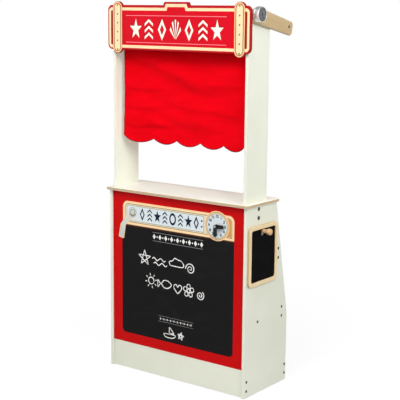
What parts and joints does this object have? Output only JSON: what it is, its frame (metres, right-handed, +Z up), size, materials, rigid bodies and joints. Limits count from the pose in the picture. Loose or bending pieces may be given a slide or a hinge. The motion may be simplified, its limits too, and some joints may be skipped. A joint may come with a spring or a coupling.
{
  "type": "puppet theater stand",
  "caption": "Free-standing play theatre: shelved cabinet with printed front, counter, uprights with header board and scalloped curtain, folding awning arms, side chalkboard and play clock.",
  "frame": {"origin": "on the floor, under the middle of the whole stand's outer box", "axes": "+Z up, -Y towards the audience on the printed side, +X across the width to the side with the small chalkboard"},
  "size_m": [0.6036, 0.252, 1.2218],
  "materials": {
    "white_board": "satin off-white paint on board",
    "red_print": "printed red face on board",
    "birch_ply": "clear lacquered birch plywood",
    "beech": "clear lacquered beech",
    "slate": "matt black chalkboard paint",
    "curtain_cloth": "plain woven cotton",
    "black_plastic": "moulded black",
    "grey_cap": "turned grey face",
    "chrome": "bright chrome",
    "dark_steel": "blackened steel",
    "zinc": "zinc plated",
    "brass": "plain"
  },
  "bodies": {
    "stand": {"side_panel_right": "white_board", "side_panel_left": "white_board", "kick_panel": "white_board", "shelf": "white_board", "shelf_rail": "white_board", "upper_rail": "white_board", "bottom_rail": "white_board", "upright_right": "white_board", "upright_left": "white_board", "front_panel": "red_print", "header_sign": "red_print", "counter_top": "birch_ply", "curtain_rod": "beech", "sign_batten_right": "beech", "sign_batten_left": "beech", "chalkboard_peg": "beech", "curtain": "curtain_cloth", "clock_spacer": "black_plastic", "panel_screw_right_1": "dark_steel", "panel_screw_right_2": "dark_steel", "panel_screw_right_3": "dark_steel", "panel_screw_right_4": "dark_steel", "panel_screw_right_5": "dark_steel", "panel_screw_right_6": "dark_steel", "panel_screw_right_7": "dark_steel", "panel_screw_right_8": "dark_steel", "panel_screw_right_9": "dark_steel", "panel_screw_left_1": "dark_steel", "panel_screw_left_2": "dark_steel", "panel_screw_left_3": "dark_steel", "panel_screw_left_4": "dark_steel", "panel_screw_left_5": "dark_steel", "panel_screw_left_6": "dark_steel", "panel_screw_left_7": "dark_steel", "panel_screw_left_8": "dark_steel", "panel_screw_left_9": "dark_steel", "upright_bolt_right_1": "dark_steel", "upright_bolt_right_2": "dark_steel", "upright_bolt_left_1": "dark_steel", "upright_bolt_left_2": "dark_steel", "clock_pin": "zinc", "clock_nut": "zinc", "rod_insert_right": "brass", "rod_insert_left": "brass"},
    "awning_arms": {"arm_right": "beech", "arm_left": "beech", "arm_crossbar": "beech", "crossbar_screw_right": "zinc", "crossbar_screw_left": "zinc"},
    "knob_right": {"knob_shell_right": "chrome", "knob_cap_right": "grey_cap", "knob_stud_right": "zinc"},
    "knob_left": {"knob_shell_left": "chrome", "knob_cap_left": "grey_cap", "knob_stud_left": "zinc"},
    "chalkboard": {"chalkboard_frame": "birch_ply", "chalkboard_slate": "slate"},
    "hour_hand": {"clock_hour_hand": "black_plastic"},
    "minute_hand": {"clock_minute_hand": "black_plastic"}
  },
  "joints": [
    {"name": "awning_tilt", "type": "hinge", "parent": "stand", "child": "awning_arms", "pos_m": [-0.0075, -0.079, 1.1855], "axis": [1, 0, 0], "range_deg": [-45, 105]},
    {"name": "knob_right_turn", "type": "hinge", "parent": "stand", "child": "knob_right", "pos_m": [-0.0075, -0.079, 1.1855], "axis": [1, 0, 0], "range_deg": [0, 360]},
    {"name": "knob_left_turn", "type": "hinge", "parent": "stand", "child": "knob_left", "pos_m": [-0.0075, -0.079, 1.1855], "axis": [-1, 0, 0], "range_deg": [0, 360]},
    {"name": "chalkboard_swing", "type": "hinge", "parent": "stand", "child": "chalkboard", "pos_m": [0.2715, -0.031, 0.525], "axis": [1, 0, 0], "range_deg": [-80, 80]},
    {"name": "hour_hand_turn", "type": "hinge", "parent": "stand", "child": "hour_hand", "pos_m": [0.1535, -0.121, 0.5375], "axis": [0, 1, 0], "continuous": true},
    {"name": "minute_hand_turn", "type": "hinge", "parent": "stand", "child": "minute_hand", "pos_m": [0.1535, -0.121, 0.5375], "axis": [0, 1, 0], "continuous": true}
  ]
}
